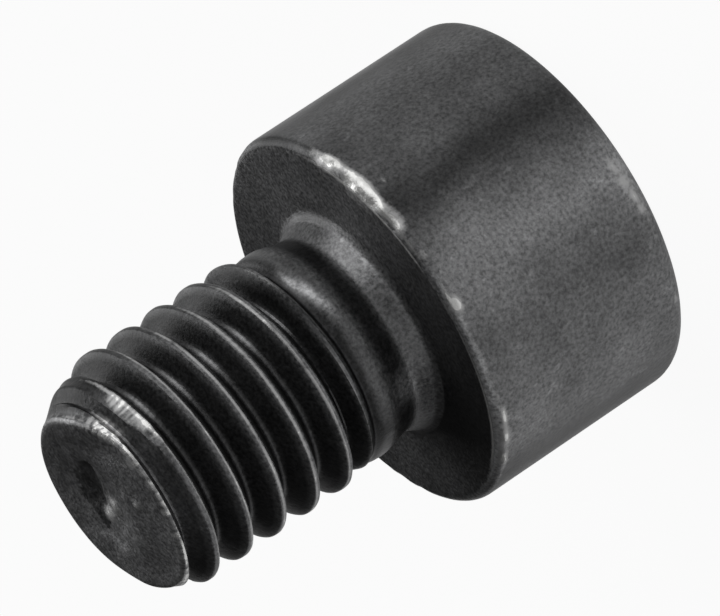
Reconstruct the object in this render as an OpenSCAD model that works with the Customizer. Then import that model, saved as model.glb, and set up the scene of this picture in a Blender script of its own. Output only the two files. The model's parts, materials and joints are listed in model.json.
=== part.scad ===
// Socket head cap screw, M6 x 8, cold headed and roll threaded in one piece.
// It stands on its head: the flat top of the head lies on z = 0 with its middle at the origin,
// and the shank points up. The helix is right handed. All sizes are in millimetres.

/* [Head] */
// Diameter of the cylindrical head
head_d = 10; // [9:0.1:14]
// Height of the head, from its flat top to the bearing face
head_h = 5.84; // [5:0.02:8]
// Rounding where the side of the head meets its flat top
top_edge_r = 0.5; // [0.1:0.05:0.8]
// Rounding of the rim of the bearing face
bearing_edge_r = 0.25; // [0.05:0.01:0.4]

/* [Socket] */
// Width of the hexagon across its flats
socket_af = 5; // [3:0.1:5.2]
// Depth of the straight walls of the hexagon
socket_depth = 3; // [2:0.1:3.6]
// Diameter of the countersink at the mouth of the hexagon
socket_mouth_d = 6; // [5.8:0.05:6.6]
// Height of the shallow cone that the punch leaves at the bottom
socket_cone_h = 0.6; // [0.2:0.05:0.8]

/* [Thread] */
// Nominal diameter of the thread
thread_d = 6; // [5.6:0.1:7]
// Distance along the screw from one crest to the next
pitch = 1; // [0.8:0.05:1.25]
// How much smaller than nominal the crests are rolled, on the diameter
crest_slack = 0.03; // [0:0.01:0.15]
// Share of the pitch that is flat on a crest
crest_flat = 0.16; // [0.1:0.01:0.24]
// Share of the pitch that is flat at a root
root_flat = 0.16; // [0.1:0.01:0.24]
// Angle round the shank that sets where the crests pass
start_angle = 91; // [0:1:360]

/* [Shank] */
// Length of the shank, from the bearing face to the end of the point
shank_len = 8; // [6:0.5:20]
// Fillet between the bearing face and the neck
fillet_r = 0.5; // [0.2:0.05:0.8]
// Plain neck left between the bearing face and the first trace of thread
neck_len = 1.15; // [1:0.05:2]
// Length over which the thread grows from the plain neck to its full depth
runout_len = 1; // [0.5:0.1:1.5]

/* [Point] */
// Diameter of the flat end of the point
point_d = 4.46; // [3.8:0.02:4.8]
// Length of the taper from the full thread to the end
point_len = 1.1; // [0.6:0.05:1.6]
// Width of the small bevel round the end face
point_bevel = 0.08; // [0.04:0.01:0.2]
// Diameter of the dimple in the end face
dimple_d = 2.4; // [1:0.1:3.2]
// Depth of that dimple
dimple_depth = 0.3; // [0.1:0.05:0.5]

/* [Hidden] */

$fn = 96;
black_oxide = [0.16, 0.16, 0.165];
cut = 0.5; // how far a cutter reaches past the face it opens

// Radii of the rolled thread. The blank is rolled at the pitch diameter,
// so the metal pressed out of the roots fills the crests.
crest_r = (thread_d - crest_slack) / 2;
thread_depth = 17 / 24 * pitch * cos(30);
root_r = crest_r - thread_depth;
neck_r = (thread_d - 0.75 * pitch * cos(30)) / 2;

// The threaded shank is one mesh whose rows follow the helix. It starts inside the neck.
seat_step = 0.02;                     // the neck stands this far proud of the blank there
thread_z0 = neck_len - 0.25;          // start and end, above the bearing face
thread_z1 = shank_len;
segments = 60;                        // columns round the shank
row_marks = [-crest_flat / 2, crest_flat / 2, 0.25,
             0.5 - root_flat / 2, 0.5 + root_flat / 2, 0.75];
rows_a_turn = len(row_marks);
phase = start_angle / 360;
first_turn = floor(thread_z0 / pitch - phase) - 1;
turns = ceil(thread_z1 / pitch - phase) - first_turn + 1;
rows = turns * rows_a_turn;
squeeze = 0.1 / (2 * rows_a_turn + 1); // least spacing of rows that meet an end
dimple_rings = 3;

function clamped(x) = max(0, min(1, x));
function smooth(x) = let (t = clamped(x)) t * t * (3 - 2 * t);

// Height of a row at one column, kept between the two ends of the mesh
function row_z(column, row) =
    let (turn = first_turn + floor(row / rows_a_turn) + row_marks[row % rows_a_turn],
         free = pitch * (turn + column / segments + phase))
    max(thread_z0 + squeeze * (row + 1),
        min(thread_z1 - squeeze * (rows - row), free));

// How much of the thread's depth is filled: 1 on a crest, 0 at a root
function fill(z, angle) =
    let (u = z / pitch - angle / 360 - phase, off_crest = abs(u - round(u)))
    clamped((0.5 - root_flat / 2 - off_crest) / (0.5 - root_flat / 2 - crest_flat / 2));

// Radius of the shank: plain blank, growing into full thread, held inside the taper of the point
function shank_r(z, angle) =
    let (growth = smooth((z - neck_len) / runout_len),
         thread = root_r + thread_depth * fill(z, angle),
         taper = point_d / 2 + (shank_len - z) * (crest_r - point_d / 2) / point_len)
    min((neck_r - seat_step) * (1 - growth) + thread * growth, taper);

function on_circle(r, angle, z) = [r * cos(angle), r * sin(angle), z];
function ring(r, z) = [for (i = [0:segments - 1]) on_circle(r, 360 * i / segments, z)];

// Half section of the head, with both rims of its side rounded
module head_profile() {
    square([head_d / 2 - top_edge_r, head_h]);
    translate([0, top_edge_r])
        square([head_d / 2, head_h - top_edge_r - bearing_edge_r]);
    translate([0, top_edge_r])
        square([head_d / 2 - bearing_edge_r, head_h - top_edge_r]);
    translate([head_d / 2 - top_edge_r, top_edge_r])
        circle(r = top_edge_r);
    translate([head_d / 2 - bearing_edge_r, head_h - bearing_edge_r])
        circle(r = bearing_edge_r);
}

// Half section of the plain neck and the fillet that carries it into the bearing face
module neck_profile() {
    translate([0, head_h - cut])
        square([neck_r, neck_len + cut]);
    difference() {
        translate([neck_r - cut, head_h - cut])
            square(fillet_r + cut);
        translate([neck_r + fillet_r, head_h + fillet_r])
            circle(r = fillet_r);
    }
}

module head_and_neck() {
    rotate_extrude() {
        head_profile();
        neck_profile();
    }
}

// Hexagonal socket, open downwards, with a countersunk mouth and a shallow coned bottom
module socket() {
    corner_r = socket_af / 2 / cos(30);
    mouth_r = socket_mouth_d / 2;
    mouth_h = mouth_r - socket_af / 2;
    translate([0, 0, -cut])
        cylinder(h = socket_depth + cut, r = corner_r, $fn = 6);
    translate([0, 0, -cut])
        cylinder(h = mouth_h + cut, r1 = mouth_r + cut, r2 = socket_af / 2);
    translate([0, 0, socket_depth])
        cylinder(h = socket_cone_h, r1 = socket_af / 2, r2 = 0);
}

// Threaded shank: rings of points from the base, along the helix, to the end face and its dimple
module threaded_shank() {
    last_row = rows + 1;              // ring 0 is the base, rings 1 to last_row follow the helix
    rim = last_row + 1;
    centre_ring = rim + dimple_rings;
    dimple_r = dimple_d / 2;

    function at(column, ring) = ring * segments + column % segments;
    function dimple_z(r) = thread_z1 - dimple_depth * (1 - pow(r / dimple_r, 2));

    helix = [for (row = [0:rows], i = [0:segments - 1])
        let (angle = 360 * i / segments, z = row_z(i, row)) on_circle(shank_r(z, angle), angle, z)];
    dimple = [for (k = [0:dimple_rings - 1])
        let (r = dimple_r * (1 - k / dimple_rings)) each ring(r, dimple_z(r))];
    points = concat(ring(neck_r - seat_step, thread_z0), helix,
                    ring(point_d / 2 - point_bevel, thread_z1), dimple,
                    [[0, 0, dimple_z(0)]]);
    middle = len(points) - 1;

    // Two triangles between one ring and the next; step is how many rings the helix climbs in a turn
    function patch(column, ring, step = 0) =
        let (a = at(column, ring), b = at(column, ring + 1),
             c = at(column + 1, ring + 1 + step), d = at(column + 1, ring + step))
        [[a, b, c], [a, c, d]];

    base = [[for (i = [0:segments - 1]) i]];
    walls = [for (ring = [0:last_row], i = [0:segments - 2]) each patch(i, ring)];
    face = [for (ring = [rim:centre_ring - 1], i = [0:segments - 1]) each patch(i, ring)];
    tip = [for (i = [0:segments - 1]) [at(i, centre_ring), middle, at(i + 1, centre_ring)]];

    // The seam, where each row meets the row one turn higher, and the fans that close its two ends
    seam_column = segments - 1;
    low = at(seam_column, 1);
    high = at(0, last_row);
    seam = [for (ring = [1:last_row - rows_a_turn - 1])
        each patch(seam_column, ring, rows_a_turn)];
    low_fan = concat([[low, at(0, 1), at(0, 0)], [low, at(0, 0), at(seam_column, 0)]],
                     [for (k = [1:rows_a_turn]) [low, at(0, k + 1), at(0, k)]]);
    high_fan = concat([for (k = [last_row - rows_a_turn:last_row - 1])
                          [at(seam_column, k), at(seam_column, k + 1), high]],
                      [[at(seam_column, last_row), at(seam_column, rim), at(0, rim)],
                       [at(seam_column, last_row), at(0, rim), high]]);

    translate([0, 0, head_h])
        polyhedron(points = points,
                   faces = concat(base, walls, face, tip, seam, low_fan, high_fan));
}

module screw() {
    color(black_oxide)
        difference() {
            union() {
                head_and_neck();
                threaded_shank();
            }
            socket();
        }
}

screw();
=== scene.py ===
import json
import math

import bpy
import numpy as np
from mathutils import Matrix, Vector


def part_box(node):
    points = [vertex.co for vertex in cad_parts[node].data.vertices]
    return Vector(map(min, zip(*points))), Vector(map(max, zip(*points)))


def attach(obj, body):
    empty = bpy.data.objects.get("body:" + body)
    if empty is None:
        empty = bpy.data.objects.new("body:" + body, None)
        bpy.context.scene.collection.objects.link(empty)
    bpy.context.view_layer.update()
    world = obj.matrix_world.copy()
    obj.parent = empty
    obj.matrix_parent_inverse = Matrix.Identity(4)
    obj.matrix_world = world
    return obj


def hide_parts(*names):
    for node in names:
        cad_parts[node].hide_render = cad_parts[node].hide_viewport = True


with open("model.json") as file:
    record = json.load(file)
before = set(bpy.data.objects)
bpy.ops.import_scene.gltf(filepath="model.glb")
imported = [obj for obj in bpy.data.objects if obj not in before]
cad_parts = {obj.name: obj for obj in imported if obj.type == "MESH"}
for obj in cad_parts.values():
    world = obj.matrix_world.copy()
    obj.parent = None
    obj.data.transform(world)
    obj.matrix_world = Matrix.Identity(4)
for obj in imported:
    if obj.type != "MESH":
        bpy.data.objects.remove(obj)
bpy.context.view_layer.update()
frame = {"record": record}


# ---- The head -----------------------------------------------------------------------------------
# A plain cylinder of alloy steel, cold headed from wire in one piece with the shank. The die rounds
# the rim of its top; the rim of the bearing face is sharper, and knocks have chipped and bared it.

MM = 0.001
COLUMNS = 300                        # columns round the screw; the chipped rim has twice as many
turn = np.linspace(0.0, 2 * np.pi, COLUMNS + 1)
fine_turn = np.linspace(0.0, 2 * np.pi, 2 * COLUMNS + 1)

mounts = {mount["name"]: mount for mount in frame["record"]["mounts"]}
HEAD_R = mounts["head_side"]["dims"]["r_mm"]
HEAD_H = mounts["bearing_face"]["pos_m"][2] / MM
TOP_EDGE_R = 0.5
BEARING_EDGE_R = 0.25
FLAT_R = 3.15                        # where the socket's mouth ends on the flat top
CHIPPED = 0.75                       # height of the side below the bearing face that is chipped
CHIP_DEPTH = 0.04
CHIP_REACH = 0.30                    # how far from the rim's corner a knock still tells
SEAT_R = 4.2                         # the chips reach in to here on the bearing face
FILLET_R = 0.3
FILLET_LEAN = 70                     # degrees of the fillet, before the neck's lean takes over
FILLET_IN = 3.11                     # radius at which the fillet starts on the bearing face
# heights over the bearing face and radii of the neck, of the shoulder and of what the turns rise from
NECK = ((0.197, 2.828), (0.46, 2.70), (0.59, 2.655), (0.72, 2.67), (1.0, 2.735), (1.26, 2.80),
        (1.37, 2.828), (1.50, 2.832), (1.66, 2.825), (1.85, 2.79), (1.95, 2.74), (2.3, 2.72))


def line(start, stop, count):
    """Evenly spaced points from start towards stop, which is left to the next stretch."""
    share = np.arange(count)[:, None] / count
    return np.array(start) * (1 - share) + np.array(stop) * share


def arc(centre, radius, start, stop, count):
    """Points on a circle about centre, from one angle in degrees to another, without the last."""
    angle = np.radians(start + (stop - start) * np.arange(count) / count)
    return np.array(centre) + radius * np.stack([np.cos(angle), np.sin(angle)], axis=1)


def carried_round(profile, angles):
    """Grids of radius, angle and height: a half section of (radius, height) rows, turned about Z."""
    shape = (len(profile), len(angles))
    radius = np.broadcast_to(profile[:, :1], shape).copy()
    height = np.broadcast_to(profile[:, 1:], shape).copy()
    return radius, np.broadcast_to(angles, shape), height


def ripple(angle, height, seed, waves, shortest, longest):
    """Unevenness about 0, mostly from -1 to 1: a sum of cosines of given wavelengths in mm that
    run round and along the screw, each a whole number of times round it."""
    dice = np.random.default_rng(seed)
    total = np.zeros(np.broadcast(angle, height).shape)
    for _ in range(waves):
        length = dice.uniform(shortest, longest)
        slant = dice.uniform(0, 2 * np.pi)
        round_count = np.round(2 * np.pi * HEAD_R / length * np.cos(slant))
        along = 2 * np.pi / length * np.sin(slant)
        total += np.cos(round_count * angle + along * height + dice.uniform(0, 2 * np.pi))
    return total * (2 / waves) ** 0.5


def patch(angle, height, at_angle, at_height, wide, tall):
    """A soft spot of strength 1 on the skin, wide in degrees and tall in mm."""
    across = (np.degrees(angle) - at_angle + 180) % 360 - 180
    return np.exp(-((across / wide) ** 2 + ((height - at_height) / tall) ** 2))


KNOCKS = ((315, 9, 0.95), (299, 9, 1.0), (288, 4, 0.8), (276, 4, 0.45), (262, 4, 0.9),
          (222, 7, 0.55), (205, 8, 0.75), (338, 10, 0.35), (20, 12, 0.5), (84, 11, 0.8),
          (140, 9, 0.6))             # places along the rim in degrees, half widths, strengths


def rim_damage(radius, angle, height):
    """How knocked each place of the bearing rim is: spots along the rim, fading away from it."""
    spots = sum(strength * patch(angle, 0, at, 0, wide, 1) for at, wide, strength in KNOCKS)
    away = np.hypot(HEAD_R - radius, HEAD_H - height)
    return np.clip(spots, 0, 1) * np.exp(-(away / CHIP_REACH) ** 2)


def chipped(radius, angle, height):
    """The rim moved in towards the metal where it was knocked: the depth is the damage times an
    unevenness that is never below 0. Round the bearing face the rim sinks by half of it too."""
    rough = 0.5 + 0.5 * ripple(angle, height + radius, 7, 24, 0.4, 1.4)
    depth = CHIP_DEPTH * rim_damage(radius, angle, height) * np.clip(rough, 0, 1.4)
    return radius - depth, angle, height - 0.5 * depth * (height > HEAD_H - 0.5)


def pinned(grid):
    """A fine grid whose first and last rows meet the coarse grids: each odd point there is moved
    onto the even one before it, which turns the quads between them into triangles."""
    for part in grid:
        part[[0, -1], 1::2] = part[[0, -1], 0:-1:2]
    return grid


top_profile = np.concatenate([
    line((FLAT_R, 0), (HEAD_R - TOP_EDGE_R, 0), 5),
    arc((HEAD_R - TOP_EDGE_R, TOP_EDGE_R), TOP_EDGE_R, -90, 0, 8),
    line((HEAD_R, TOP_EDGE_R), (HEAD_R, HEAD_H - CHIPPED), 24),
    [[HEAD_R, HEAD_H - CHIPPED]],
])
rim_profile = np.concatenate([
    line((HEAD_R, HEAD_H - CHIPPED), (HEAD_R, HEAD_H - BEARING_EDGE_R), 7),
    arc((HEAD_R - BEARING_EDGE_R, HEAD_H - BEARING_EDGE_R), BEARING_EDGE_R, 0, 90, 7),
    line((HEAD_R - BEARING_EDGE_R, HEAD_H), (SEAT_R, HEAD_H), 6),
    [[SEAT_R, HEAD_H]],
])
seat_profile = np.concatenate([
    line((SEAT_R, HEAD_H), (FILLET_IN, HEAD_H), 5),
    arc((FILLET_IN, HEAD_H + FILLET_R), FILLET_R, -90, -90 - FILLET_LEAN, 9),
    [[NECK[0][1], HEAD_H + NECK[0][0]]],
])
grids = [
    chipped(*carried_round(top_profile, turn)),
    pinned([part.copy() for part in chipped(*carried_round(rim_profile, fine_turn))]),
    chipped(*carried_round(seat_profile, turn)),
]


# ---- The threaded shank -------------------------------------------------------------------------
# The blank is rolled between flat dies: metal pressed out of the roots flows up into the crests,
# and the two streams meet in a fine seam along each crest. The edge of the dies leaves a shoulder
# below the head, and the turns rise out of it.

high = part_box("screw")[1]
PITCH = 1.0
CREST_R = 2.985
DEPTH = 17 / 24 * PITCH * math.cos(math.radians(30))
START = 91 / 360                     # share of a turn between the first crest and +X
SHANK = high[2] / MM - HEAD_H        # heights from here on are over the bearing face
RUNOUT = (1.82, 2.3)                 # the turns rise out of the shoulder between these heights
START_DRAG = 0.17                    # the first crest lies this much past its place
END_DRAG = 0.15                      # and the last one this much short of its own
CONE_FACES = (268, 14, 324, 16)      # degrees where the shoulder's cone comes, over degrees, and goes
CONE_R = 2.85                        # its radius at CONE_AT, from where it narrows by CONE_SLOPE
CONE_AT = 1.48
CONE_SLOPE = 0.38
CONE_FROM = 1.3
CREST_EASE = 97                      # how wide the thread's corners are eased, in 800ths of a pitch
ROOT_EASE = 193
ROLLED_UNEVEN = 0.006
RIM = 0.11                           # radius of the round between the point's taper and its end
POINT_SLOPE = 0.62
LOBE_SAG = 0.24                      # the end sags by this over the lobe
BULGE = (345, 7.42, 26, 0.24)        # degrees, height and half widths of a swelling of the taper
BULGE_SIZE = 0.17
# degrees and radii of the end's rim, a ring with a lobe where it cuts the last turn
RIM_AT = (0, 20, 45, 60, 75, 100, 130, 148, 160, 170, 182, 195, 210, 250, 278, 290, 303, 320,
          340, 360)
RIM_R = (2.12, 2.12, 2.16, 2.15, 2.09, 2.06, 2.06, 2.08, 2.18, 2.30, 2.54, 2.74, 2.84, 2.82, 2.72,
         2.55, 2.42, 2.25, 2.12, 2.12)

# the rows of the thread's strip, in pitches from its crest, close together where it bends
profile_u = np.array([
    -0.5, -0.44, -0.40, -0.35, -0.28, -0.21, -0.15, -0.11, -0.08, -0.045, -0.01,
    0.025, 0.06, 0.09, 0.13, 0.19, 0.27, 0.35, 0.40, 0.44, 0.5,
])


def smooth(x):
    """Eased step from 0 to 1: three times the square less twice the cube."""
    x = np.clip(x, 0, 1)
    return x * x * (3 - 2 * x)


def rolled_thread(u):
    """Fill of the thread, 1 on a crest and 0 at a root, for places u in pitches from a crest: a
    trapezoid with its corners eased by a moving average, which is wider at the roots."""
    fine = np.linspace(-0.5, 0.5, 801)
    trapezoid = np.tile(np.clip((0.42 - np.abs(fine[:-1])) / 0.34, 0, 1), 3)
    crest, root = (np.convolve(trapezoid, window / window.sum(), "same")[800:1601]
                   for window in (np.hanning(CREST_EASE), np.hanning(ROOT_EASE)))
    eased = root + (crest - root) * smooth((0.33 - np.abs(fine)) / 0.16)
    return np.interp(u, fine, eased)


def rim_radius(angle):
    """Radius of the end's rim: straight steps between the set angles, rounded by an average."""
    around = np.degrees(angle)[..., None] + np.linspace(-9, 9, 13)
    return np.interp(around % 360, RIM_AT, RIM_R).mean(axis=-1)


def lobe(angle):
    """1 where the last turn runs out through the end, and 0 elsewhere."""
    around = np.degrees(angle) % 360
    return smooth((around - 165) / 40) * smooth((335 - around) / 55)


def rim_height(angle):
    """Height of the rim, which sags a little over the lobe and is never quite square."""
    return SHANK - LOBE_SAG * lobe(angle) - 0.02 * (1 + np.cos(2 * angle - 0.6)) / 2


def crest_place(angle, height):
    """Distance from the nearest crest, in pitches, up the screw: height in pitches less turns, with
    the first and the last turn dragged a little off the true helix."""
    dragged = height + END_DRAG * smooth((height - 6.9) / 0.9)
    dragged = dragged - START_DRAG * smooth((2.9 - height) / 0.8)
    return (dragged / PITCH - angle / (2 * np.pi) - START + 0.5) % 1 - 0.5


def shank_radius(angle, height):
    """Radius of the shank: the pressed neck rises to the shoulder, the thread grows out of it, and
    the whole is held inside the taper of the point."""
    nearby = np.linspace(-0.05, 0.05, 7) * smooth((height[..., None] - NECK[0][0]) / 0.1)
    base = np.interp(height[..., None] + nearby, *np.transpose(NECK)).mean(axis=-1)
    around = np.degrees(angle) % 360
    start, start_over, stop, stop_over = CONE_FACES
    window = smooth((around - start) / start_over) * smooth((stop - around) / stop_over)
    cone = CONE_R - CONE_SLOPE * (height - CONE_AT)
    base = base + window * np.minimum(0, cone - base) * (height > CONE_FROM)
    growth = smooth((height - RUNOUT[0]) / (RUNOUT[1] - RUNOUT[0]))
    thread = CREST_R - DEPTH * (1 - rolled_thread(crest_place(angle, height)))
    free = base * (1 - growth) + thread * growth
    free = free + ROLLED_UNEVEN * growth * ripple(angle, height, 3, 10, 1.5, 4.0)
    slope = POINT_SLOPE * (1 - 0.55 * lobe(angle))
    taper = rim_radius(angle) + (rim_height(angle) - height) * slope
    taper = taper + BULGE_SIZE * patch(angle, height, *BULGE)
    return np.minimum(free, taper)


# One strip winds up the screw, its middle row along the crest. Each of its edges is the other one's
# neighbour a turn further on, and it is held flat at the fillet and at the end's round.
first = math.floor(COLUMNS * (NECK[0][0] / PITCH - START - 0.5))
last = math.ceil(COLUMNS * ((SHANK + END_DRAG) / PITCH - START + 0.5))
along = np.arange(first, last + 1)
strip_angle = np.broadcast_to(along % COLUMNS * (2 * np.pi / COLUMNS),
                              (len(profile_u), len(along)))
strip_height = PITCH * (along / COLUMNS + START + profile_u[:, None])
strip_height = np.clip(strip_height, NECK[0][0], rim_height(strip_angle) - RIM)
strip_radius = shank_radius(strip_angle, strip_height)
grids.append((strip_radius, strip_angle, HEAD_H + strip_height))


# ---- The point ----------------------------------------------------------------------------------
# The end of the wire as it was sheared: dished when the dies drew the skin out past the core, with
# a torn pip left in the middle. Its rim is blunt and worn bright where it starts in a nut.

DISH_R = 1.95
DISH_DEPTH = 0.18
DISH_AT = (0.10, -0.10)
DISH_WAVES = 0.014
DISH_RIPPLE = 0.007
FACE_SINK = 0.02                     # the middle of the end lies this much below the shank's length
PIPS = ((-0.34, -0.40, 0.075, 0.27), (-0.44, 0.16, 0.045, 0.21), (-0.62, -1.75, 0.05, 0.13),
        (0.30, -0.05, -0.03, 0.55))  # x, y, height and half width of three lumps and of a pit


def hollow(x, y):
    """Depth of the dish at a place: an eased bowl less its lumps, uneven all over by a product of
    two slanting cosines and by a fine ripple that dies out in the middle."""
    distance = np.hypot(x - DISH_AT[0], y - DISH_AT[1])
    depth = DISH_DEPTH * (1 - smooth(distance / DISH_R))
    for at_x, at_y, rise, width in PIPS:
        depth = depth - rise * np.exp(-((x - at_x) ** 2 + (y - at_y) ** 2) / width ** 2)
    uneven = np.cos(5.1 * x + 1.3 * y) * np.cos(1.7 * x - 4.3 * y + 1) * DISH_WAVES
    uneven = uneven + DISH_RIPPLE * ripple(np.arctan2(y, x), 9 * distance, 13, 40, 2.0, 6.0) * (
        smooth(np.hypot(x, y) / 0.7))
    return depth + uneven * smooth((DISH_R + 0.2 - distance) / 0.6)


rim = rim_radius(turn)
rim_top = rim_height(turn)
start_radius = shank_radius(turn, rim_top - RIM)
bend = np.radians(np.linspace(0, 90, 7))[:, None]
round_radius = rim - RIM + (start_radius - rim + RIM) * np.cos(bend)
round_height = rim_top - RIM + RIM * np.sin(bend)
inward = np.linspace(1, 0, 30)[1:, None]
face_radius = (rim - RIM) * inward
middle = SHANK - FACE_SINK
face_height = middle + (rim_top - middle) * smooth((inward - 0.45) / 0.55)
face_height = face_height - hollow(face_radius * np.cos(turn), face_radius * np.sin(turn)) * (
    smooth((1 - inward) / 0.2))
point_radius = np.concatenate([round_radius, face_radius])
point_height = np.concatenate([round_height, face_height])
point_angle = np.broadcast_to(turn, point_radius.shape)
grids.append((point_radius, point_angle, HEAD_H + point_height))


# ---- The socket ---------------------------------------------------------------------------------
# A hexagon for the key, punched into the head in the same blow. Its mouth is countersunk, its
# corners are a little round, and its bottom is the shallow cone of the punch.

SOCKET_AF = 5.0
SOCKET_DEPTH = 3.0
MOUTH_R = 3.0
CONE_H = 0.6
CORNER = 0.03                        # how much the round takes off each corner

hexagon = SOCKET_AF / 2 / np.cos(np.mod(turn, np.pi / 3) - np.pi / 6)
hexagon = np.minimum(hexagon, SOCKET_AF / 2 / math.cos(math.pi / 6) - CORNER)
meeting = MOUTH_R - hexagon          # the 45 degree countersink meets each place of the wall here
bottom = np.linspace(0, 1, 8)[:, None] * hexagon
bottom_height = SOCKET_DEPTH + CONE_H * np.clip(1 - bottom / (SOCKET_AF / 2), 0, 1)
wall_share = np.linspace(0, 1, 8)[1:, None]
wall = np.broadcast_to(hexagon, (7, COLUMNS + 1))
wall_height = SOCKET_DEPTH + (meeting - SOCKET_DEPTH) * wall_share
sink_height = meeting * np.linspace(1, 0, 5)[1:, None]
sink = MOUTH_R - sink_height
lip, _, lip_height = carried_round(np.array([[FLAT_R, 0.0]]), turn)
socket_radius = np.concatenate([bottom, wall, sink, lip])
socket_height = np.concatenate([bottom_height, wall_height, sink_height, lip_height])
grids.append((socket_radius, np.broadcast_to(turn, socket_radius.shape), socket_height))


# ---- The skin -----------------------------------------------------------------------------------
# All these surfaces are one piece of steel, so their grids are sewn into one closed mesh. The
# finish is black oxide, a thin dark skin that crests, rims and knocks wear through to bare steel.

def grid_faces(shape, first_index):
    """Corner numbers of the quads of a grid whose points are numbered row by row."""
    index = first_index + np.arange(shape[0] * shape[1]).reshape(shape)
    return np.stack([index[:-1, :-1], index[:-1, 1:], index[1:, 1:], index[1:, :-1]],
                    axis=-1).reshape(-1, 4)


starts = np.cumsum([0] + [grid[0].size for grid in grids])
points = np.concatenate([
    np.stack([radius * np.cos(angle), radius * np.sin(angle), height], axis=-1).reshape(-1, 3)
    for radius, angle, height in grids])
faces = np.concatenate([
    grid_faces(grid[0].shape, start) for grid, start in zip(grids, starts)])

# Points in one place become one point. A quad with two corners left in one place is a triangle, and
# one with fewer than three corners left is dropped.
_, keep, number = np.unique(np.round(points, 5), axis=0, return_index=True, return_inverse=True)
points = points[keep]
faces = number.reshape(-1)[faces]
same = faces == np.roll(faces, -1, axis=1)
quads = faces[same.sum(axis=1) == 0]
quads = quads[(quads[:, 0] != quads[:, 2]) & (quads[:, 1] != quads[:, 3])]
pinched = same.sum(axis=1) == 1
triangles = faces[pinched][~same[pinched]].reshape(-1, 3)

SHARP = 38                           # degrees past which an edge isn't shaded smooth
mesh = bpy.data.meshes.new("cap_screw")
mesh.from_pydata(points * MM, [], quads.tolist() + triangles.tolist())
mesh.shade_smooth()
mesh.set_sharp_from_angle(angle=math.radians(SHARP))
screw = bpy.data.objects.new("cap_screw", mesh)
bpy.context.collection.objects.link(screw)
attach(screw, "root")
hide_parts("screw")


def stretches(angle, *places):
    """The sum of soft stretches round the screw: degrees, half width in degrees, strength."""
    return sum(strength * patch(angle, 0, at, 0, wide, 1) for at, wide, strength in places)


def spots(*places):
    """The sum of soft spots on the skin: degrees, mm over the bearing face, half width in degrees,
    half height in mm, strength."""
    return sum(strength * patch(angle, above, at, level, wide, tall)
               for at, level, wide, tall, strength in places)


def streak(distance, half_width):
    """A soft line of strength 1 where the distance is 0."""
    return np.exp(-(distance / half_width) ** 2)


radius = np.hypot(points[:, 0], points[:, 1])
angle = np.arctan2(points[:, 1], points[:, 0]) % (2 * np.pi)
height = points[:, 2]
above = height - HEAD_H
u = crest_place(angle, above)
NECK_FROM = 0.62                     # mm over the bearing face, from where the shank counts
END_FROM = 7.4                       # and from where its end does
SIDE_R = 4.4                         # outside this radius the skin is the head's
on_shank = (above > NECK_FROM) & (above < rim_height(angle) - RIM + 0.01)
on_end = above > END_FROM

# Wear and painted highlight. Every crest carries a bright line, partly rubbed oxide and partly a
# painted highlight, which drifts across it along the screw by LINE_DRIFT for each mm from
# LINE_MIDDLE. It sets in as the crests rise out of the shoulder, and is fainter round 348 degrees,
# where the painted highlight fades, and at one spot near the end.
LINE_DRIFT = -0.033
LINE_MIDDLE = 4.3
LINE_W = 0.043                       # half width, in pitches
crest_line_place = LINE_DRIFT * (above - LINE_MIDDLE) + 0.03 * streak(above - 2.2, 0.3)
along_crest = streak(u - crest_line_place, LINE_W)
grown = 0.6 * smooth((above - 1.8) / 0.2) + 0.4 * smooth((above - 2.4) / 0.5)
crest_wear_and_highlight = along_crest * grown * (0.86 + 0.08 * ripple(angle, above, 5, 20, 0.5, 3.0)
                                    + 0.08 * ripple(angle, above, 6, 30, 0.15, 0.5))
crest_wear_and_highlight = crest_wear_and_highlight * (1 - stretches(angle, (348, 24, 0.8)))
crest_wear_and_highlight = crest_wear_and_highlight * (1 - spots((300, 7.05, 18, 0.2, 0.6)))
# The first turn: rubbed along its crest round 318 degrees, with painted highlights on its crest round
# 308 degrees and below it round 280 degrees.
first_turn_wear_and_highlight = (spots((318, 2.28, 12, 0.14, 0.35)) * along_crest
              + spots((308, 2.26, 11, 0.10, 0.75)) * streak(u, 0.05) * on_shank
              + spots((280, 2.14, 15, 0.09, 0.80)) * streak(u + 0.06, 0.05) * on_shank)
scored = 0.82 + 0.22 * ripple(angle, 0 * above, 8, 30, 0.12, 0.5)
end_band = scored * spots((305, 7.05, 13, 0.18, 0.75), (288, 6.97, 12, 0.14, 0.65),
                          (300, 7.18, 14, 0.10, 0.3), (295, 7.74, 13, 0.16, 0.85))

# The end's rim is rubbed in spots, the pip's lumps all over, and one nick is bright.
rim_band = streak(radius - rim_radius(angle) - 0.02, 0.16) * on_end * (
    0.85 + 0.40 * ripple(angle, above, 9, 40, 0.15, 0.6))
rim_spots = 0.3 + stretches(
    angle, (298, 14, 0.8), (278, 4, 1.3), (262, 6, 0.8), (248, 4, 1.1), (235, 4, 0.8),
    (222, 4, 1.0), (203, 10, 0.4))
pip_wear = sum(streak(np.hypot(points[:, 0] - x, points[:, 1] - y), width * 1.1)
               for x, y, _, width in PIPS[:3]) * (above > 7) * (radius < 2)
nick = spots((277, 7.71, 4, 0.09, 0.9)) * (radius > 2)
# Real wear and painted highlights together, in one measure.
wear_and_highlight = np.where(on_shank, crest_wear_and_highlight + end_band, 0) + first_turn_wear_and_highlight + pip_wear + nick
wear_and_highlight = wear_and_highlight + rim_band * np.clip(rim_spots, 0, 1.3)

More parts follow.
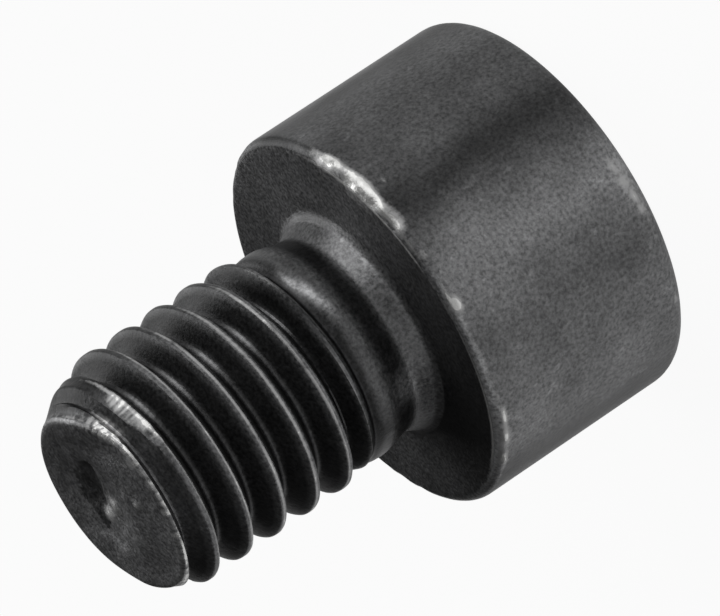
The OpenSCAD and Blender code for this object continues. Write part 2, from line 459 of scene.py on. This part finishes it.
# Chips and knocks on the head's side, the first ones along its bearing rim, then some lower down.
CHIPS = (
    (315, -0.16, 3.2, 0.09, 1.9), (305, -0.10, 4.2, 0.09, 1.8), (298, -0.13, 4.0, 0.10, 1.8),
    (289, -0.22, 4.5, 0.13, 0.6), (320, -0.10, 4.5, 0.10, 0.7), (308, -0.22, 3.0, 0.06, 0.7),
    (276, -0.17, 1.4, 0.06, 0.8), (270, -0.28, 1.2, 0.05, 0.6), (264, -0.10, 2.6, 0.03, 0.9),
    (260.5, -0.18, 2.4, 0.12, 1.5), (300, -0.62, 1.5, 0.07, 0.45), (231, -0.18, 1.5, 0.05, 0.7),
    (224, -0.24, 3.5, 0.09, 1.1), (216, -0.21, 3.5, 0.10, 1.1), (207, -0.16, 3.5, 0.09, 1.1),
    (303, -0.27, 4.0, 0.07, 0.9), (86, -0.12, 6.0, 0.10, 1.2), (142, -0.15, 5.0, 0.08, 1.0),
    (20, -0.15, 7.0, 0.06, 0.8), (258, -5.42, 1.6, 0.07, 0.8), (263, -5.36, 1.4, 0.10, 0.7),
    (268, -5.36, 2.2, 0.06, 0.65), (254, -5.46, 1.2, 0.12, 0.5), (224, -5.52, 1.6, 0.09, 0.6),
    (219, -5.20, 1.5, 0.07, 0.35), (274, -2.45, 1.2, 0.25, 0.3), (266, -2.75, 1.6, 0.25, 0.35),
    (237, -3.05, 0.7, 0.25, 0.45))
wear_and_highlight = wear_and_highlight + spots(*CHIPS) * (radius > SIDE_R)
wear_and_highlight = wear_and_highlight + 0.3 * (above < 0.05) * rim_damage(radius, angle, height)
inner_line = streak(radius - HEAD_R + BEARING_EDGE_R, 0.03) * (np.abs(above) < 0.02)
wear_and_highlight = wear_and_highlight + inner_line * (0.2 + stretches(
    angle, (299, 20, 1.5), (278, 2.5, 1.3), (238, 20, 0.9), (212, 12, 0.8)))
rim_line = streak(radius - HEAD_R + 0.10, 0.045) * (above < 0) * (above > -0.2)
wear_and_highlight = wear_and_highlight + rim_line * stretches(angle, (293, 9, 1.1), (281, 6, 0.6), (215, 14, 0.35))
# A painted highlight along the round of the head's top rim, stronger round 262 degrees.
far_edge_highlight = streak(height - 0.35, 0.25) * (radius > SIDE_R)
wear_and_highlight = wear_and_highlight + far_edge_highlight * (0.15 + stretches(angle, (262, 12, 0.3)))

# Tone, how light the oxide is, with painted light and shade in it. Each area has its own, which also
# paints in how lit or shaded that area is, and soft stretches and spots vary it; most of these are
# painted highlights, reflections and shade.
PLAIN_TONE = 0.10
SIDE_TONE = 0.148
SEAT_TONE = 0.11
FILLET_TONE = 0.14
NECK_TONE = 0.11
SHOULDER_TONE = 0.09
THREAD_TONE = 0.12
FACE_TONE = 0.135
# The head's side: its lighter and darker bands round the screw are painted reflections of bright and
# dark parts of the studio.
wander = angle + np.radians(1.5) * ripple(angle, above, 11, 12, 1.5, 6)
side_tone_and_painted_bands = SIDE_TONE + stretches(
    wander, (345, 10, -0.08), (316, 18, -0.075), (291, 11, -0.10), (267, 8, 0.04), (247, 9, -0.03),
    (210, 9, 0.03), (190, 14, -0.10), (150, 14, -0.03), (120, 14, -0.06), (92, 10, 0.02),
    (60, 12, -0.07), (25, 14, -0.05))
tone_and_painted_light = np.where((above < -0.05) & (radius > 3.2), side_tone_and_painted_bands, PLAIN_TONE)
# The rounded rim of the bearing face: painted light round 226 degrees and painted shade round 342
# degrees.
rounded = smooth((above + 0.22) / 0.10) * (radius > HEAD_R - BEARING_EDGE_R) * (above < 0.02)
tone_and_painted_light = tone_and_painted_light + rounded * stretches(angle, (226, 36, 0.38), (342, 24, -0.06))
# The bearing face: painted shadow of the shank round 205 degrees and painted light round 0 degrees.
on_seat = (above > -0.05) & (above < 0.1) & (radius > 3.0) & (radius < HEAD_R - BEARING_EDGE_R)
tone_and_painted_light = np.where(on_seat, SEAT_TONE + stretches(angle, (205, 40, -0.08), (0, 32, 0.05)), tone_and_painted_light)
tone_and_painted_light = np.where((above > 0.1) & (above < 1.0), FILLET_TONE, tone_and_painted_light)
tone_and_painted_light = np.where(on_shank, NECK_TONE, tone_and_painted_light)
# Painted shade in the hollow of the neck.
tone_and_painted_light = tone_and_painted_light - 0.08 * np.exp(-((above - 0.98) / 0.27) ** 4)  # the hollow of the neck
# The shoulder: painted shade darkens its top, in the gap before the first turn.
shoulder = SHOULDER_TONE - 0.06 * smooth((above - 1.60) / 0.25)
tone_and_painted_light = np.where((above > 1.3) & (above < 2.06), shoulder, tone_and_painted_light)
# Painted light and shade on the fillet, the neck and the shoulder: highlights on the fillet round 303
# degrees, on the neck round 229 degrees and where the turns rise out of the shoulder, with painted
# shade beside them.
tone_and_painted_light = tone_and_painted_light + (radius < 3.5) * spots(
    (303, 0.38, 19, 0.28, 0.07), (236, 0.40, 12, 0.26, 0.08), (267, 0.35, 8, 0.25, -0.045),
    (330, 0.30, 12, 0.30, -0.05), (330, 0.05, 18, 0.13, -0.03), (303, 0.10, 24, 0.10, 0.10),
    (345, 0.30, 9, 0.40, -0.05), (229, 0.86, 9, 0.26, 0.30), (286, 1.60, 7, 0.08, 0.18),
    (297, 1.70, 8, 0.08, 0.26), (308, 1.82, 8, 0.065, 0.28), (310, 1.55, 18, 0.12, -0.045),
    (332, 0.84, 20, 0.22, -0.05), (247, 1.60, 15, 0.12, 0.02), (212, 1.70, 9, 0.40, -0.06))

# On the turns painted shade darkens the flanks, and a painted highlight makes a pale line below the
# crest's bright one. The roots carry a painted highlight round 303 degrees, the turns near the end
# are lighter round 255 degrees, and painted shade darkens the turns round 340 degrees.
flank_shade = smooth((0.98 * CREST_R - radius) / 0.12)
root = smooth((np.abs(u) - 0.36) / 0.08)
thread_tone_and_painted_light = THREAD_TONE - 0.08 * flank_shade + 0.08 * streak(u - crest_line_place + 0.13, 0.05)
thread_tone_and_painted_light = thread_tone_and_painted_light + root * (0.01 + stretches(angle, (303, 11, 0.15)))
thread_tone_and_painted_light = thread_tone_and_painted_light + smooth((above - 7.05) / 0.15) * stretches(angle, (255, 60, 0.08))
thread_tone_and_painted_light = thread_tone_and_painted_light * (1 - stretches(angle, (340, 28, 0.62)))
on_turns = smooth((above - 1.98) / 0.1) * on_shank
tone_and_painted_light = np.clip(tone_and_painted_light * (1 - on_turns) + thread_tone_and_painted_light * on_turns, 0.02, 0.6)
# The end face: painted light on the side of its dish round 195 degrees.
face_tone_and_painted_light = FACE_TONE + stretches(angle, (195, 70, 0.075))
tone_and_painted_light = np.where(above > rim_height(angle) - RIM, face_tone_and_painted_light, tone_and_painted_light)

MOST_WEAR = 1.5
for name, values in (("wear_and_highlight", np.clip(wear_and_highlight, 0, MOST_WEAR)), ("tone_and_painted_light", tone_and_painted_light)):
    layer = mesh.attributes.new(name, "FLOAT", "POINT")
    layer.data.foreach_set("value", values.astype(np.float32))

BARE_STEEL = (0.62, 0.62, 0.61)
THIN_OXIDE_AND_HIGHLIGHT = (0.36, 0.36, 0.36)
OXIDE_TINT = (("Red", 0.99), ("Green", 0.995), ("Blue", 1.01))
GRAIN_HEIGHT = 0.012                 # mm
oxide = bpy.data.materials.new("black_oxide")
oxide.use_nodes = True
nodes, links = oxide.node_tree.nodes, oxide.node_tree.links
shader = nodes["Principled BSDF"]
shader.inputs["Metallic"].default_value = 0.8
shader.inputs["Specular Tint"].default_value = (0.6, 0.6, 0.6, 1)


def value_of(name):
    """The value of a measure kept on the mesh."""
    node = nodes.new("ShaderNodeAttribute")
    node.attribute_name = name
    return node.outputs["Fac"]


def noise(scale, detail, roughness):
    """Noise in the screw's own space; scale is in bumps for each millimetre."""
    place = nodes.new("ShaderNodeMapping")
    place.inputs["Scale"].default_value = (1 / MM, 1 / MM, 1 / MM)
    links.new(coordinates.outputs["Object"], place.inputs["Vector"])
    texture = nodes.new("ShaderNodeTexNoise")
    texture.inputs["Scale"].default_value = scale
    texture.inputs["Detail"].default_value = detail
    texture.inputs["Roughness"].default_value = roughness
    links.new(place.outputs["Vector"], texture.inputs["Vector"])
    return texture.outputs["Fac"]


def between(value, low_in, high_in, low_out, high_out, easing="LINEAR"):
    """A value carried from one range to another and kept inside it."""
    node = nodes.new("ShaderNodeMapRange")
    node.interpolation_type = easing
    for name, number in (("From Min", low_in), ("From Max", high_in),
                         ("To Min", low_out), ("To Max", high_out)):
        node.inputs[name].default_value = number
    links.new(value, node.inputs["Value"])
    return node.outputs["Result"]


def maths(operation, first_value, second_value):
    """One sum on two values, each a socket or a number."""
    node = nodes.new("ShaderNodeMath")
    node.operation = operation
    for socket, value in zip(node.inputs, (first_value, second_value)):
        if isinstance(value, (int, float)):
            socket.default_value = value
        else:
            links.new(value, socket)
    return node.outputs[0]


def blend_colours(share, first_colour, second_colour):
    """A mix of two colours, each a socket or a triple, by a share from 0 to 1."""
    node = nodes.new("ShaderNodeMix")
    node.data_type = "RGBA"
    links.new(share, node.inputs["Factor"])
    for name, colour in (("A", first_colour), ("B", second_colour)):
        socket = [s for s in node.inputs if s.name == name and s.type == "RGBA"][0]
        if isinstance(colour, tuple):
            socket.default_value = (*colour, 1)
        else:
            links.new(colour, socket)
    return [s for s in node.outputs if s.type == "RGBA"][0]


# Four noises: slow clouds, the fine grain, a few pale flecks, and the ragged edge of bare spots.
coordinates = nodes.new("ShaderNodeTexCoord")
cloud = noise(0.7, 4.0, 0.60)
grain = noise(11.0, 2.0, 0.6)
flecks = between(noise(2.6, 3.0, 0.6), 0.60, 0.72, 1.0, 1.35, "SMOOTHSTEP")
ragged = noise(5.0, 4.0, 0.65)

# Wear past about 0.95 bares the steel, along a ragged edge; less only thins the oxide. The painted
# highlights kept in the same measure come out as this pale oxide and bare steel too.
wear_and_highlight_value = value_of("wear_and_highlight")
bared_and_highlit = maths("ADD", wear_and_highlight_value, maths("MULTIPLY", maths("SUBTRACT", ragged, 0.5), 0.9))
bared_and_highlit = between(bared_and_highlit, 0.85, 1.05, 0.0, 1.0, "SMOOTHSTEP")
rubbed_and_highlit = maths("ADD", wear_and_highlight_value, maths("MULTIPLY", maths("SUBTRACT", grain, 0.5), 0.5))
rubbed_and_highlit = between(rubbed_and_highlit, 0.15, 0.85, 0.0, 1.0, "SMOOTHSTEP")

# The oxide's colour is its tone, with the painted light and shade in it, varied by the clouds, the
# grain and the flecks.
tone_and_light_value = maths("MULTIPLY", value_of("tone_and_painted_light"), between(cloud, 0.3, 0.7, 0.78, 1.22))
tone_and_light_value = maths("MULTIPLY", tone_and_light_value, between(grain, 0.3, 0.7, 0.55, 1.45))
tone_and_light_value = maths("MULTIPLY", tone_and_light_value, flecks)
dark = nodes.new("ShaderNodeCombineColor")
for channel, tint in OXIDE_TINT:
    links.new(maths("MULTIPLY", tone_and_light_value, tint), dark.inputs[channel])
skin = blend_colours(rubbed_and_highlit, dark.outputs[0], THIN_OXIDE_AND_HIGHLIGHT)
skin = blend_colours(bared_and_highlit, skin, BARE_STEEL)
links.new(skin, shader.inputs["Base Color"])

gloss = between(grain, 0.3, 0.7, 0.38, 0.50)
gloss = maths("SUBTRACT", gloss, maths("MULTIPLY", bared_and_highlit, 0.08))
links.new(gloss, shader.inputs["Roughness"])
relief = maths("ADD", maths("MULTIPLY", grain, 0.7), maths("MULTIPLY", ragged, 0.6))
bump = nodes.new("ShaderNodeBump")
bump.inputs["Strength"].default_value = 1.0
bump.inputs["Distance"].default_value = GRAIN_HEIGHT * MM
links.new(relief, bump.inputs["Height"])
links.new(bump.outputs["Normal"], shader.inputs["Normal"])
mesh.materials.append(oxide)


# ---- Floor, light and camera --------------------------------------------------------------------
# A sheet of white paper, with a broad soft lamp low on the screw's right, a smaller one behind it
# on the same side, and a large dim one in front on the left; behind on the left it is dark.

REACH = 1.5
PAPER = (0.8, 0.8, 0.8, 1)
PAPER_SEEN = 0.94                    # how much of what is seen of the paper is plain white
STUDIO = (0.05, 0.05, 0.05, 1)
floor_mesh = bpy.data.meshes.new("floor")
floor_mesh.from_pydata([(-REACH, -REACH, 0), (REACH, -REACH, 0), (REACH, REACH, 0),
                        (-REACH, REACH, 0)], [], [(0, 1, 2, 3)])
floor = bpy.data.objects.new("floor", floor_mesh)
bpy.context.collection.objects.link(floor)
paper = bpy.data.materials.new("white_paper")
paper.use_nodes = True
nodes, links = paper.node_tree.nodes, paper.node_tree.links
nodes.clear()
path = nodes.new("ShaderNodeLightPath")
seen = maths("MAXIMUM", path.outputs["Is Camera Ray"], path.outputs["Is Glossy Ray"])
seen = maths("MAXIMUM", seen, path.outputs["Is Transmission Ray"])
diffuse = nodes.new("ShaderNodeBsdfDiffuse")
diffuse.inputs["Color"].default_value = PAPER
glow = nodes.new("ShaderNodeEmission")
glow.inputs["Strength"].default_value = 1.0
mix = nodes.new("ShaderNodeMixShader")
links.new(maths("MULTIPLY", seen, PAPER_SEEN), mix.inputs[0])
links.new(diffuse.outputs[0], mix.inputs[1])
links.new(glow.outputs[0], mix.inputs[2])
output = nodes.new("ShaderNodeOutputMaterial")
links.new(mix.outputs[0], output.inputs["Surface"])
floor_mesh.materials.append(paper)

world = bpy.data.worlds.new("studio")
bpy.context.scene.world = world
world.use_nodes = True
world.node_tree.nodes["Background"].inputs["Color"].default_value = STUDIO


def softbox(name, azimuth, elevation, distance, size, radiance):
    """A square area lamp that looks at the middle of the screw from a given direction. Its power is
    set so that it looks as bright as radiance times white."""
    lamp = bpy.data.lights.new(name, "AREA")
    lamp.size = size
    lamp.energy = radiance * math.pi * size ** 2
    body = bpy.data.objects.new(name, lamp)
    around, over = math.radians(azimuth), math.radians(elevation)
    direction = Vector((math.cos(around) * math.cos(over), math.sin(around) * math.cos(over),
                        math.sin(over)))
    body.location = Vector((0, 0, high[2] / 2)) + direction * distance
    body.rotation_euler = direction.to_track_quat("Z", "Y").to_euler()
    bpy.context.collection.objects.link(body)


# azimuth, elevation, distance and size in metres, radiance
softbox("key", 335, 14, 0.30, 0.30, 1.9)
softbox("fill", 48, 26, 0.30, 0.20, 4.0)
softbox("front", 240, 30, 0.40, 0.50, 0.5)

ELEVATION = math.radians(22.49)
ROLL = math.radians(-123.63)
DISTANCE = 194.75
AIM = (0.770, 0.911)                 # where the frame's middle lies beside the screw's own, in mm
LENS = 415.0
back = Vector((0, -math.cos(ELEVATION), math.sin(ELEVATION)))
level = Vector((1, 0, 0))
rise = back.cross(level)
right = math.cos(ROLL) * level + math.sin(ROLL) * rise
up = math.cos(ROLL) * rise - math.sin(ROLL) * level
centre = Vector((0, 0, (HEAD_H + SHANK) / 2)) + right * AIM[0] + up * AIM[1]
camera = bpy.data.objects.new("camera", bpy.data.cameras.new("camera"))
camera.matrix_world = Matrix.Translation((centre + back * DISTANCE) * MM) @ Matrix(
    (right, up, back)).transposed().to_4x4()
camera.data.lens = LENS
camera.data.clip_start = 0.01
camera.data.clip_end = 10
bpy.context.collection.objects.link(camera)
bpy.context.scene.camera = camera
bpy.context.scene.view_settings.view_transform = "Standard"
